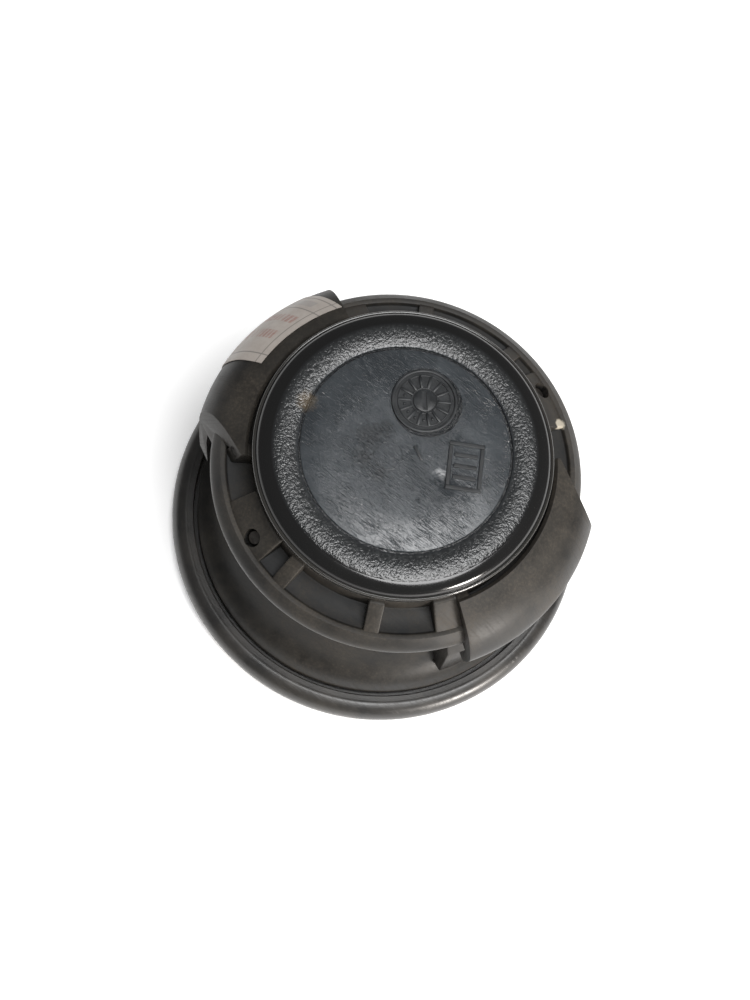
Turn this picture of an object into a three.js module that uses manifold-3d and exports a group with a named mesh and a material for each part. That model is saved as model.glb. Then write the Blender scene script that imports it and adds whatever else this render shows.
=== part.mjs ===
// Car tweeter, lying on its front rim. Millimetres, +Z towards the rear cap.
import * as THREE from 'three';
import { mergeVertices } from 'three/addons/utils/BufferGeometryUtils.js';
import Module from 'manifold-3d';

const wasm = await Module();
wasm.setup();

// Driving sizes
const flangeR = 27.4;          // outer radius of the front bezel
const overallH = 32.5;         // front rim to cap face
const grooveR = 24.3;          // witness groove between bezel and housing bell
const capR = 18.1;             // rear cap, outer
const rimR = 22.8;             // collar rim
const wingR = 25;              // retention wings at their widest
const wall = 1.2;              // moulded walls
const gap = 0.3;               // clearance between neighbouring pieces
const coilR = 12;              // voice coil former, middle of its wall

// Sides of the turned shapes
const fine = 64;
const medium = 40;
const coarse = 32;

// Levels
const bezelH = 4.2;            // depth of the bezel's outer band
const collarZ = 26;            // floor of the rear pockets
const collarT = 3.4;           // thickness of the collar disc
const capSkirt = 2.6;          // face of the cap down to its lower edge
const gasketT = 0.3;           // sealing ring under the cap
const coneTopZ = overallH - 3.8;    // where the ribs meet the rear tube
const wingTopZ = overallH - 3;      // rear edge of the wings
const wingFreeZ = collarZ - 6;      // free edge of the wings

// Bezel and grille
const rimInR = flangeR - 2.6;       // mouth of the bezel at the front
const rimOutR = flangeR - 1;
const ledgeR = grooveR - 2.3;       // opening of the bezel's inner ledge
const ledgeZ = 1.6;
const ledgeT = 1;
const grilleT = 0.5;
const grilleRings = 4;
const grillePitch = 4.8;
const grilleHoleR = 1.6;
const screenT = 0.3;

// Motor
const formerT = 0.3;
const windingT = 0.5;
const plateT = 2;
const padR = 8;                     // damping pad behind the dome
const padT = 0.8;
const magnetT = 4;
const cupT = 1.2;
const cupWall = 1.9;
const domeH = 4;
const domeT = 0.35;
const domeZ = 7.8;                  // plane of the dome's edge
const surroundW = 1.9;
const frameT = 1.3;
const frameReach = 2.2;             // motor frame beyond the cup
const wireRoom = 1.55;              // between the cup and the waist

// Terminals, capacitor and wires
const terminalAngle = 100;
const bladeW = 2.8;
const bladeT = 0.8;
const bladeSpan = 5.2;              // between the blade centres
const bladeOut = 5;                 // blade length outside the block
const blockW = 11;
const blockH = 4.6;
const blockZ = 15.2;
const capacitorR = 2.9;
const capacitorL = 11;
const wireR = 0.35;

// Ribs, bosses, wings; angles in degrees, repeated at half a turn
const wingFrom = -33;
const wingTo = 38;
const leadAngle = 62;           // the wings' leading ends are cut square to this angle
const leadReach = 18;            // from the axis, measured leadDrop below the wings' rear edge
const leadDrop = 1.5;
const leadSlope = 0.28;          // further out towards the free edge
const gussetFrom = -42;
const ribAngles = [83, 117];
const ribW = 2;
const bossFrom = 51.5;
const bossTo = 73.5;
const bossHoleR = 1.1;
const screwL = 3.4;
const footFrom = -34;
const footTo = -25;

// Derived places
const ledgeBackZ = ledgeZ + ledgeT;
const bellFrontZ = ledgeBackZ + gap;
const bellR = grooveR - 0.25;
const bezelInR = grooveR + 0.25;
const coneTopR = capR + 0.1;
const coneFootR = rimR - 1.3;
const capBaseZ = overallH - capSkirt;
const gasketZ = capBaseZ - gap - gasketT;
const tubeTopZ = gasketZ - gap;
const tubeR = capR - gap;
const chamberR = tubeR - wall;
const plateR = coilR - formerT / 2 - gap;
const windingR = coilR + formerT / 2 + gap;
const cupInR = windingR + windingT + gap;
const cupR = cupInR + cupWall;
const throatR = coilR + 3;
const frameZ = domeZ + 1.2;
const cupFrontZ = frameZ + frameT + gap;
const plateZ = cupFrontZ + 0.3;
const magnetZ = plateZ + plateT + gap;
const cupFloorZ = magnetZ + magnetT + gap;
const cupBackZ = cupFloorZ + cupT;
const capacitorZ = cupBackZ + 4;
const neckInR = cupR + wireRoom;
const neckR = neckInR + wall;
const collarLowZ = collarZ - collarT;
const waistZ = collarLowZ - 3.4;
const faceT = 0.8;

const rad = (degrees) => (degrees * Math.PI) / 180;
const group = new THREE.Group();

const looks = {
  housing: [0x3c3a37, 0.5, 0], bezel: [0x2c2b2a, 0.4, 0], cap: [0x3a3d40, 0.35, 0],
  grille: [0x222222, 0.5, 0.6], steel: [0x8d9094, 0.4, 1], magnet: [0xa9acae, 0.25, 1],
  brass: [0xb08d4f, 0.35, 1], copper: [0xb06a3c, 0.35, 1], silk: [0x1b1a1c, 0.9, 0],
  foam: [0x2b2b2b, 0.95, 0], rubber: [0x1c1c1c, 0.8, 0], plastic: [0x222324, 0.5, 0],
  label: [0xbdb8b2, 0.7, 0], red: [0xa03028, 0.5, 0], sleeve: [0x24303c, 0.4, 0],
};

function place(name, geometry, look, parent = group) {
  const [color, roughness, metalness] = looks[look];
  const mesh = new THREE.Mesh(geometry, new THREE.MeshStandardMaterial({ color, roughness, metalness }));
  mesh.name = name;
  parent.add(mesh);
  return mesh;
}

// A turned solid: a closed outline of [radius, height] points, from one angle to another.
function turned(outline, sides = medium, from = 0, to = 360) {
  const area = outline.reduce((sum, [r, z], i) => {
    const [r2, z2] = outline[(i + 1) % outline.length];
    return sum + r * z2 - r2 * z;
  }, 0);
  const points = area > 0 ? outline : [...outline].reverse();
  const full = to - from >= 360;
  const steps = full ? sides : Math.max(4, Math.round((sides * (to - from)) / 360));
  const positions = [];
  const indices = [];
  const at = (i, j) => i * points.length + j;
  for (let i = 0; i <= (full ? steps - 1 : steps); i += 1) {
    const a = rad(from + ((to - from) * i) / steps);
    for (const [r, z] of points) positions.push(r * Math.cos(a), r * Math.sin(a), z);
  }
  for (let i = 0; i < steps; i += 1) {
    const next = full ? (i + 1) % steps : i + 1;
    for (let j = 0; j < points.length; j += 1) {
      const k = (j + 1) % points.length;
      if (points[j][0] !== 0 || points[k][0] !== 0) {
        if (points[j][0] !== 0) indices.push(at(i, j), at(next, j), at(next, k));
        if (points[k][0] !== 0) indices.push(at(i, j), at(next, k), at(i, k));
      }
    }
  }
  if (!full) {
    const shape = points.map(([r, z]) => new THREE.Vector2(r, z));
    for (const [a, b, c] of THREE.ShapeUtils.triangulateShape(shape, [])) {
      indices.push(at(0, a), at(0, b), at(0, c));
      indices.push(at(steps, a), at(steps, c), at(steps, b));
    }
  }
  return outward(positions, indices);
}

// Merges shared points and turns the faces outwards.
function outward(positions, indices) {
  const raw = new THREE.BufferGeometry();
  raw.setAttribute('position', new THREE.Float32BufferAttribute(positions, 3));
  raw.setIndex(indices);
  const geometry = mergeVertices(raw, 1e-5);
  const p = geometry.getAttribute('position');
  const index = Array.from(geometry.getIndex().array);
  const kept = [];
  let volume = 0;
  const [a, b, c] = [new THREE.Vector3(), new THREE.Vector3(), new THREE.Vector3()];
  for (let i = 0; i < index.length; i += 3) {
    const [x, y, z] = index.slice(i, i + 3);
    if (x === y || y === z || z === x) continue;
    kept.push(x, y, z);
    a.fromBufferAttribute(p, x);
    b.fromBufferAttribute(p, y);
    c.fromBufferAttribute(p, z);
    volume += a.dot(b.cross(c));
  }
  if (volume < 0) for (let i = 0; i < kept.length; i += 3) [kept[i], kept[i + 1]] = [kept[i + 1], kept[i]];
  geometry.setIndex(kept);
  return geometry;
}

function solid(geometry) {
  const bare = geometry.clone();
  bare.deleteAttribute('normal');
  bare.deleteAttribute('uv');
  const merged = mergeVertices(bare, 1e-5);
  const vertProperties = new Float32Array(merged.getAttribute('position').array);
  const triVerts = new Uint32Array(merged.getIndex().array);
  return new wasm.Manifold(new wasm.Mesh({ numProp: 3, vertProperties, triVerts }));
}

function geometryOf(shape) {
  const mesh = shape.getMesh();
  const geometry = new THREE.BufferGeometry();
  geometry.setAttribute('position', new THREE.Float32BufferAttribute(mesh.vertProperties, 3));
  geometry.setIndex(Array.from(mesh.triVerts));
  return geometry;
}

// A radial plate: an outline of [radius, height] points, centred on one angle.
function plate(outline, width, angle) {
  const shape = new THREE.Shape(outline.map(([r, z]) => new THREE.Vector2(r, z)));
  const geometry = new THREE.ExtrudeGeometry(shape, { depth: width, bevelEnabled: false });
  geometry.translate(0, 0, -width / 2);
  geometry.rotateX(Math.PI / 2);
  geometry.rotateZ(rad(angle));
  return geometry;
}

function box(x, y, z, cx, cy, cz) {
  return new THREE.BoxGeometry(x, y, z).translate(cx, cy, cz);
}

function tube(points, radius, steps) {
  const curve = new THREE.CatmullRomCurve3(points.map((p) => new THREE.Vector3(...p)), false, 'centripetal');
  const section = new THREE.Shape();
  section.absarc(0, 0, radius, 0, Math.PI * 2, false);
  return new THREE.ExtrudeGeometry(section, { steps, curveSegments: 8, extrudePath: curve });
}

// Front: bezel, grille, dust screen, faceplate
place('front_bezel', turned([
  [rimInR, 0], [rimOutR, 0], [flangeR - 0.3, 0.9], [flangeR, 2], [flangeR - 0.2, 3.1],
  [flangeR - 0.8, bezelH - 0.3], [flangeR - 1.5, bezelH], [bezelInR, bezelH], [bezelInR, ledgeBackZ],
  [ledgeR, ledgeBackZ], [ledgeR, ledgeZ], [rimInR, ledgeZ],
], fine), 'bezel');

function grille() {
  const outline = new THREE.Shape();
  outline.absarc(0, 0, rimInR - gap, 0, Math.PI * 2, false);
  for (let ring = 0; ring <= grilleRings; ring += 1) {
    const count = Math.max(1, 6 * ring);
    for (let i = 0; i < count; i += 1) {
      const a = (2 * Math.PI * i) / count;
      const hole = new THREE.Path();
      const [x, y] = [ring * grillePitch * Math.cos(a), ring * grillePitch * Math.sin(a)];
      for (let k = 0; k <= 6; k += 1) {
        const b = (Math.PI * k) / 3;
        const point = [x + grilleHoleR * Math.cos(b), y + grilleHoleR * Math.sin(b)];
        if (k === 0) hole.moveTo(...point);
        else hole.lineTo(...point);
      }
      outline.holes.push(hole);
    }
  }
  const settings = { depth: grilleT, curveSegments: 32, bevelEnabled: false };
  const geometry = new THREE.ExtrudeGeometry(outline, settings);
  return geometry.translate(0, 0, ledgeZ - gap - grilleT);
}
place('grille', grille(), 'grille');
place('dust_screen', turned([
  [0, ledgeBackZ - screenT], [ledgeR - gap, ledgeBackZ - screenT],
  [ledgeR - gap, ledgeBackZ], [0, ledgeBackZ],
]), 'silk');

const plateOutR = bellR - wall - gap;
place('faceplate', turned([
  [plateOutR, bellFrontZ], [plateOutR, bellFrontZ + faceT], [plateOutR - 1.5, bellFrontZ + faceT],
  [throatR + 2.6, domeZ - 0.2], [throatR, domeZ - 0.2], [throatR, domeZ - 0.8], [throatR + 1.2, domeZ - 2.2],
  [throatR + 3.4, bellFrontZ + 0.9], [plateOutR - 1.7, bellFrontZ],
]), 'plastic');

// Moving system
const domeR = coilR + 0.5;
const domeSteps = 6;
function domeOutline() {
  const points = [];
  const outer = (domeR * domeR + domeH * domeH) / (2 * domeH);
  const half = Math.asin(domeR / outer);
  for (let i = 0; i <= domeSteps; i += 1) {
    const a = (half * i) / domeSteps;
    points.push([outer * Math.sin(a), domeZ - domeH + outer * (1 - Math.cos(a))]);
  }
  const inner = outer - domeT;
  const innerHalf = Math.asin((domeR - domeT) / inner);
  for (let i = domeSteps; i >= 0; i -= 1) {
    const a = (innerHalf * i) / domeSteps;
    points.push([inner * Math.sin(a), domeZ - domeH + outer - inner * Math.cos(a)]);
  }
  return points;
}
place('dome', turned(domeOutline(), coarse), 'silk');
const formerZ = domeZ + gap;
const coilEndZ = plateZ + plateT + 0.2;
place('coil_former', turned([
  [coilR - formerT / 2, formerZ], [coilR + formerT / 2, formerZ],
  [coilR + formerT / 2, coilEndZ + 0.2], [coilR - formerT / 2, coilEndZ + 0.2],
]), 'brass');
place('coil_winding', turned([
  [windingR, plateZ - 0.3], [windingR + windingT, plateZ - 0.3],
  [windingR + windingT, coilEndZ], [windingR, coilEndZ],
]), 'copper');

const surroundR = domeR + gap + surroundW / 2;
function surroundOutline() {
  const points = [];
  const steps = 4;
  for (const [r, order] of [[surroundW / 2, 1], [surroundW / 2 - 0.3, -1]]) {
    for (let i = 0; i <= steps; i += 1) {
      const a = (Math.PI * (order > 0 ? i : steps - i)) / steps;
      points.push([surroundR - r * Math.cos(a), domeZ + 0.1 - r * Math.sin(a)]);
    }
  }
  return points;
}
place('surround', turned(surroundOutline(), coarse), 'silk');
place('diaphragm_ring', turned([
  [throatR + 0.1, domeZ + 0.1], [throatR + 2.4, domeZ + 0.1],
  [throatR + 2.4, frameZ - gap], [throatR + 0.1, frameZ - gap],
]), 'plastic');

// Motor
const motorFrameR = cupR + frameReach;
const wireAngles = [terminalAngle, terminalAngle + 180];
const notchInR = cupInR + 1.3;
let motorFrame = solid(turned([
  [cupInR + 0.4, frameZ], [motorFrameR, frameZ],
  [motorFrameR, frameZ + frameT], [cupInR + 0.4, frameZ + frameT],
]));
for (const angle of wireAngles) {
  const notch = box(motorFrameR, 9, 8, notchInR + motorFrameR / 2, 0, frameZ).rotateZ(rad(angle));
  motorFrame = motorFrame.subtract(solid(notch));
}
place('motor_frame', geometryOf(motorFrame), 'plastic');
place('pole_plate', turned([
  [0, plateZ], [plateR, plateZ], [plateR, plateZ + plateT], [0, plateZ + plateT],
]), 'steel');
const padBackZ = plateZ - gap;
place('damping_pad', turned([
  [0, padBackZ - padT], [padR, padBackZ - padT], [padR, padBackZ], [0, padBackZ],
], coarse), 'foam');
place('magnet', turned([
  [0, magnetZ], [plateR - 0.8, magnetZ], [plateR - 0.8, magnetZ + magnetT], [0, magnetZ + magnetT],
]), 'magnet');
place('motor_cup', turned([
  [0, cupFloorZ], [cupInR, cupFloorZ], [cupInR, cupFrontZ], [cupR, cupFrontZ], [cupR, cupBackZ - 0.6],
  [cupR - 0.6, cupBackZ], [0, cupBackZ],
]), 'steel');

// Housing: bell, waist, collar and rear tube in one turned shell
const bellFootZ = bezelH + 0.3;
const bellSteps = 7;
function bell(radius, footZ) {
  const points = [];
  for (let i = 0; i <= bellSteps; i += 1) {
    const a = (Math.PI / 2) * (i / bellSteps);
    points.push([bellR - (bellR - radius) * Math.sin(a), waistZ - (waistZ - footZ) * Math.cos(a)]);
  }
  return points;
}
const bellInside = bell(neckInR, bellFrontZ + faceT + gap).filter(([r]) => r < bellR - wall).reverse();
const shell = turned([
  [bellR, bellFrontZ], ...bell(neckR, bellFootZ),
  [neckR + 0.2, collarLowZ - 1.6], [neckR + 1.2, collarLowZ - 0.4],
  [rimR - 0.9, collarLowZ + 0.6], [rimR, collarLowZ + 1.4],
  [rimR, collarZ - 0.9], [rimR - 1.1, collarZ + 0.5],
  [rimR - 1.7, collarZ + 0.5], [rimR - 1.9, collarZ],
  [tubeR, collarZ], [tubeR, tubeTopZ], [chamberR, tubeTopZ],
  [chamberR, collarLowZ + 0.8], [neckInR, collarLowZ + 0.3], ...bellInside,
  [bellR - wall, bellFrontZ + faceT + gap], [bellR - wall, bellFrontZ],
], fine);

const wingSkin = [
  [wingR - 0.6, wingFreeZ], [wingR - 0.1, wingFreeZ + 2], [wingR, wingFreeZ + 4],
  [wingR - 1.4, wingFreeZ + 6.6], [wingR - 3.5, wingFreeZ + 8.3], [capR + 0.8, wingTopZ],
];
const wingOutline = [
  ...wingSkin, [capR + 0.4, wingTopZ - 0.4], [capR + 0.7, wingTopZ - 2],
  [rimR - 2, collarZ + 1.2], [rimR - 1.2, collarZ], [rimR - 2, collarZ - 1], [rimR - 2, collarZ - 2.4],
  [wingR - 1.4, collarZ - 2.8], [wingR - 1.4, wingFreeZ + 2], [wingR - 1.8, wingFreeZ],
];
const ribOutline = [
  [tubeR - 0.6, collarZ - 0.6], [coneFootR, collarZ - 0.6], [coneFootR, collarZ + 0.3],
  [coneTopR, coneTopZ], [tubeR - 0.6, coneTopZ],
];
const wingWallOutline = [
  [tubeR - 0.6, collarZ - 0.6], [rimR - 0.4, collarZ - 1], [rimR, collarZ + 0.8],
  [wingR - 3.9, wingFreeZ + 8.1], [capR + 0.8, wingTopZ - 0.3], [tubeR - 0.6, wingTopZ - 0.9],
];
const bellSpan = bellR - neckR;
const footOutline = [
  [neckR - 0.3, waistZ - 0.8], [neckR + 0.4 * bellSpan, waistZ - 0.8],
  [neckR + 0.75 * bellSpan, waistZ - 4.2], [neckR + 0.82 * bellSpan, bellFootZ + 2.1],
  [neckR + 0.6 * bellSpan, bellFootZ + 1], [neckR, bellFootZ + 6.4],
];

let housing = solid(shell);
const wallInset = (180 * ribW) / (2 * Math.PI * rimR);
function wing(turn) {
  let shape = solid(turned(wingOutline, fine, turn + wingFrom, turn + wingTo));
  for (const angle of [wingFrom + wallInset, wingTo - wallInset]) {
    shape = shape.add(solid(plate(wingWallOutline, ribW * 0.8, angle + turn)));
  }
  const a = rad(leadAngle + turn);
  const outwards = new THREE.Vector3(Math.cos(a), Math.sin(a), leadSlope);
  const on = new THREE.Vector3(leadReach * Math.cos(a), leadReach * Math.sin(a), wingTopZ - leadDrop);
  return shape.trimByPlane([-outwards.x, -outwards.y, -outwards.z], -outwards.dot(on) / outwards.length());
}
for (const turn of [0, 180]) {
  housing = housing.add(wing(turn));
  housing = housing.add(solid(turned(ribOutline, fine, gussetFrom + turn, wingFrom + 1 + turn)));
  for (const angle of ribAngles) housing = housing.add(solid(plate(ribOutline, ribW, angle + turn)));
  housing = housing.add(solid(turned(ribOutline, fine, bossFrom + turn, bossTo + turn)));
  housing = housing.add(solid(turned(footOutline, fine, footFrom + turn, footTo + turn)));
}

// Boss holes stand square to the cone of the ribs
const coneSlope = Math.atan2(coneTopZ - collarZ - 0.3, coneFootR - coneTopR);
const bossMidR = (coneTopR + coneFootR) / 2 + 0.4;
const bossMidZ = (coneTopZ + collarZ + 0.3) / 2 - 0.6;
const bossMid = (bossFrom + bossTo) / 2 + 3.5;
const bossHoleL = 3.9;
function alongBoss(radius, from, to, sides, angle) {
  const geometry = new THREE.CylinderGeometry(radius, radius, to - from, sides);
  geometry.translate(0, (from + to) / 2, 0);
  geometry.rotateZ(-coneSlope);
  geometry.rotateX(Math.PI / 2);
  geometry.translate(bossMidR, 0, bossMidZ);
  return geometry.rotateZ(rad(angle));
}
for (const turn of [0, 180]) {
  housing = housing.subtract(solid(alongBoss(bossHoleR, -bossHoleL, 3, 16, bossMid + turn)));
}

// Window for the terminal block, and its own slots
const terminals = new THREE.Group();
terminals.rotation.z = rad(terminalAngle - 90);
group.add(terminals);
const blockInY = neckInR + 0.2;
const blockOutY = neckR + 2.2;
const window = box(blockW + 2 * gap, 8, blockH + 2 * gap, 0, neckR + 1, blockZ);
housing = housing.subtract(solid(window.rotateZ(rad(terminalAngle - 90))));
place('housing', geometryOf(housing), 'housing');

let block = solid(box(blockW, blockOutY - blockInY, blockH, 0, (blockInY + blockOutY) / 2, blockZ));
const bladeInY = cupR + 0.35;
const bladeY = (bladeInY + blockOutY + bladeOut) / 2;
const bladeL = blockOutY + bladeOut - bladeInY;
for (const side of [-1, 1]) {
  const slot = box(bladeW + 2 * gap, 9, bladeT + 2 * gap, (side * bladeSpan) / 2, blockOutY - 2, blockZ);
  block = block.subtract(solid(slot));
}
place('terminal_block', geometryOf(block), 'plastic', terminals);
const bladeX = bladeSpan / 2;
place('terminal_positive', box(bladeW, bladeL, bladeT, bladeX, bladeY, blockZ), 'brass', terminals);
place('terminal_negative', box(bladeW, bladeL, bladeT, -bladeX, bladeY, blockZ), 'brass', terminals);

// Crossover capacitor in the rear chamber, and the wires
const capacitor = new THREE.CylinderGeometry(capacitorR, capacitorR, capacitorL, 32).rotateZ(Math.PI / 2);
place('crossover_capacitor', capacitor.translate(0, 0, capacitorZ), 'sleeve', terminals);
place('adhesive_pad', box(8, 4, capacitorZ - capacitorR - cupBackZ - 2 * gap, 0, 0,
  (capacitorZ - capacitorR + cupBackZ) / 2), 'foam', terminals);

const wireY = bladeInY + 0.25;
const leadEndX = capacitorL / 2 + gap;
place('wire_negative', tube([
  [-bladeX, wireY, frameZ + 0.2], [-bladeX, wireY, (frameZ + blockZ) / 2],
  [-bladeX, wireY, blockZ - bladeT / 2 - gap],
], wireR, 4), 'rubber', terminals);
place('capacitor_lead_in', tube([
  [bladeX, wireY, blockZ + bladeT / 2 + gap], [bladeX, wireY, cupBackZ - 1],
  [bladeX + 0.3, wireY - 0.5, cupBackZ + 1.2], [6, 10.4, cupBackZ + 2.6], [7.6, 4, capacitorZ],
  [leadEndX + 1.2, 0.4, capacitorZ], [leadEndX, 0, capacitorZ],
], wireR, 16), 'red', terminals);
place('capacitor_lead_out', tube([
  [-leadEndX, 0, capacitorZ], [-leadEndX - 1.2, -0.4, capacitorZ], [-7.4, -4, capacitorZ],
  [-4, -12, cupBackZ + 2.6], [-0.4, -wireY + 0.4, cupBackZ + 1.2], [0, -wireY, cupBackZ - 1.2],
  [0, -wireY, blockZ - 1], [0, -wireY, frameZ + 0.2],
], wireR, 20), 'red', terminals);

// Tinsel leads bridge the moving coil and the fixed wires, behind the surround
const tinselR = 0.15;
function tinsel(name, x, side) {
  const at = (radius, z) => [x, side * Math.sqrt(radius * radius - x * x), z];
  place(name, tube([
    at(windingR + 0.15, frameZ - 0.5), at(windingR + 0.9, frameZ - 0.65),
    at(throatR - 0.9, frameZ - 0.55), at(notchInR + 0.3, frameZ - 0.1),
  ], tinselR, 5), 'copper', terminals);
}
tinsel('tinsel_lead_negative', -bladeX, 1);
tinsel('tinsel_lead_positive', 0, -1);

// Rear: gasket, cap with its damping foam, label, boss screws
place('cap_gasket', turned([
  [chamberR + 0.2, gasketZ], [tubeR, gasketZ],
  [tubeR, gasketZ + gasketT], [chamberR + 0.2, gasketZ + gasketT],
]), 'rubber');
const discR = 12.7;
const capT = 1.4;
place('rear_cap', turned([
  [0, overallH], [discR - 0.2, overallH], [discR - 0.1, overallH - 0.2], [discR + 0.1, overallH - 0.2],
  [discR + 0.2, overallH], [capR - 2.2, overallH], [capR - 1, overallH - 0.3], [capR - 0.25, overallH - 0.95],
  [capR, overallH - 1.7], [capR, capBaseZ], [chamberR - gap, capBaseZ], [chamberR - gap, capBaseZ - 1.4],
  [chamberR - gap - wall, capBaseZ - 1.4], [chamberR - gap - wall, overallH - capT], [0, overallH - capT],
], fine), 'cap');
const foamR = chamberR - wall - 2 * gap;
const foamTopZ = overallH - capT - gap;
const foamLowZ = capacitorZ + capacitorR + gap;
place('chamber_foam', turned([[0, foamLowZ], [foamR, foamLowZ], [foamR, foamTopZ], [0, foamTopZ]]), 'foam');

for (const [number, turn] of [[1, 0], [2, 180]]) {
  const screw = alongBoss(bossHoleR - gap, gap - bossHoleL, screwL - bossHoleL, 12, bossMid + turn);
  place(`boss_screw_${number}`, screw, 'steel');
}

// The label is a thin skin over the wing, square to each stretch of its outline
const labelGap = 0.15;
const labelT = 0.2;
function between([r1, z1], [r2, z2], share, lift) {
  const length = Math.hypot(r2 - r1, z2 - z1);
  const [dr, dz] = [(z2 - z1) / length, (r1 - r2) / length];
  return [r1 + (r2 - r1) * share + dr * lift, z1 + (z2 - z1) * share + dz * lift];
}
function skin(lift) {
  return [
    between(wingSkin[1], wingSkin[2], 0.3, lift), between(wingSkin[1], wingSkin[2], 0.9, lift),
    between(wingSkin[2], wingSkin[3], 0.1, lift), between(wingSkin[2], wingSkin[3], 0.9, lift),
    between(wingSkin[3], wingSkin[4], 0.1, lift), between(wingSkin[3], wingSkin[4], 0.9, lift),
    between(wingSkin[4], wingSkin[5], 0.1, lift), between(wingSkin[4], wingSkin[5], 0.5, lift),
  ];
}
const labelOutline = [...skin(labelGap), ...skin(labelGap + labelT).reverse()];
place('label', turned(labelOutline, fine, 180 - 33, 180 + 5), 'label');

export default group;
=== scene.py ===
from math import atan2, ceil, cos, hypot, pi, radians, sin, sqrt

import bmesh
import bpy
from mathutils import Matrix, Vector


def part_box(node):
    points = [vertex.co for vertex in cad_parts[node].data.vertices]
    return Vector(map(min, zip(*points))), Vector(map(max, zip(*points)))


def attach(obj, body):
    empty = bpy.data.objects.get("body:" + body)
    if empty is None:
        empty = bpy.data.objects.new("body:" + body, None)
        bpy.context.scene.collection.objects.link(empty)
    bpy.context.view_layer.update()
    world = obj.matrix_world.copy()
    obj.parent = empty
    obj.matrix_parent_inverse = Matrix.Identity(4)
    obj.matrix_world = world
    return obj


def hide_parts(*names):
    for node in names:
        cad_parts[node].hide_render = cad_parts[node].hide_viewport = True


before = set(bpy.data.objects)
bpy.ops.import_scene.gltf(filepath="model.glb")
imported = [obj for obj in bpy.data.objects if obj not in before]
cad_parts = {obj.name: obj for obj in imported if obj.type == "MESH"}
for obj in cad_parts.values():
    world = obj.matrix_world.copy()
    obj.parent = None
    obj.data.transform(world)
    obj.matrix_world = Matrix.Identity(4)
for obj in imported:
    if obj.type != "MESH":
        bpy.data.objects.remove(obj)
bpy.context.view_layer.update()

mm = 0.001
scene = bpy.context.scene


# levels and radii in millimetres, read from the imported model
def boxOf(node):
    low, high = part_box(node)
    return [v / mm for v in low], [v / mm for v in high]


capHigh = boxOf("rear_cap")[1]
bezelHigh = boxOf("front_bezel")[1]
shellLow, shellHigh = boxOf("housing")
capR = capHigh[0]
topZ = capHigh[2]
flangeR = bezelHigh[0]
bezelZ = bezelHigh[2]
wingR = shellHigh[0]
bellFrontZ = shellLow[2]
collarZ = topZ - 6.5     # floor of the rear pockets
rimR = wingR - 2.2       # collar rim
tubeR = capR - 0.3


# a point from its distance off the axis and its angle
def around(radius, angle, height=0.0):
    return (radius * cos(radians(angle)), radius * sin(radians(angle)), height)


print("frame read")


# camera, floor and light
shot = {"azimuth": -74.88, "elevation": 72.48, "roll": -22.4, "distance": 197.8,
        "aim": (0.86, -7.38), "lens": 61.0}


def makeCamera():
    data = bpy.data.cameras.new("camera")
    camera = bpy.data.objects.new("camera", data)
    scene.collection.objects.link(camera)
    data.sensor_width = 36
    data.lens = shot["lens"]
    data.clip_start = 0.01
    az, el = radians(shot["azimuth"]), radians(shot["elevation"])
    back = Vector((cos(el) * cos(az), cos(el) * sin(az), sin(el)))
    aim = Vector((shot["aim"][0] * mm, shot["aim"][1] * mm, topZ * mm))
    turn = (-back).to_track_quat("-Z", "Y").to_matrix().to_4x4()
    roll = Matrix.Rotation(radians(-shot["roll"]), 4, "Z")
    camera.matrix_world = Matrix.Translation(aim + back * shot["distance"] * mm) @ turn @ roll
    scene.camera = camera
    return camera


def makeStage():
    bm = bmesh.new()
    bmesh.ops.create_grid(bm, x_segments=4, y_segments=4, size=2)
    mesh = bpy.data.meshes.new("floor")
    bm.to_mesh(mesh)
    bm.free()
    floor = bpy.data.objects.new("floor", mesh)
    scene.collection.objects.link(floor)
    look = bpy.data.materials.new("floorPaper")
    look.use_nodes = True
    shader = look.node_tree.nodes["Principled BSDF"]
    shader.inputs["Base Color"].default_value = (0.93, 0.93, 0.93, 1)
    shader.inputs["Roughness"].default_value = 0.9
    shader.inputs["Emission Color"].default_value = (1, 1, 1, 1)
    shader.inputs["Emission Strength"].default_value = 0.3
    mesh.materials.append(look)
    world = bpy.data.worlds.new("studio")
    world.use_nodes = True
    world.node_tree.nodes["Background"].inputs["Color"].default_value = (1, 1, 1, 1)
    world.node_tree.nodes["Background"].inputs["Strength"].default_value = 0.2
    scene.world = world
    scene.view_settings.view_transform = "Standard"


# each lamp stands off the cap, with its angles read from the camera's own frame
lamps = [
    {"name": "keyPanel", "side": 17, "up": 6, "distance": 420, "size": 280, "power": 2.2, "tint": (1, 1, 1)},
    {"name": "bandPanel", "side": 60, "up": -45, "distance": 420, "size": 120, "power": 2.6,
     "tint": (1, 0.95, 0.9)},
]


def makeLamps(camera):
    middle = Vector((0, 0, topZ * mm))
    turn = camera.matrix_world.to_3x3().normalized()
    for lamp in lamps:
        data = bpy.data.lights.new(lamp["name"], "AREA")
        data.shape = "DISK"
        data.size = lamp["size"] * mm
        data.energy = lamp["power"]
        data.color = lamp["tint"]
        side, up = radians(lamp["side"]), radians(lamp["up"])
        toLamp = turn @ Vector((sin(side) * cos(up), sin(up), cos(side) * cos(up)))
        light = bpy.data.objects.new(lamp["name"], data)
        light.location = middle + toLamp * lamp["distance"] * mm
        light.rotation_euler = (-toLamp).to_track_quat("-Z", "Y").to_euler()
        scene.collection.objects.link(light)


camera = makeCamera()
makeStage()
makeLamps(camera)
print("camera, floor and light made")


# finishes: every pattern is laid out in the object's own metres
def add(tree, kind, values=None, **settings):
    node = tree.nodes.new(kind)
    for key, value in settings.items():
        setattr(node, key, value)
    for key, value in (values or {}).items():
        if isinstance(value, bpy.types.NodeSocket):
            tree.links.new(value, node.inputs[key])
        else:
            node.inputs[key].default_value = value
    return node


def math(tree, operation, a, b=0.0):
    return add(tree, "ShaderNodeMath", {0: a, 1: b}, operation=operation).outputs[0]


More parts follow.
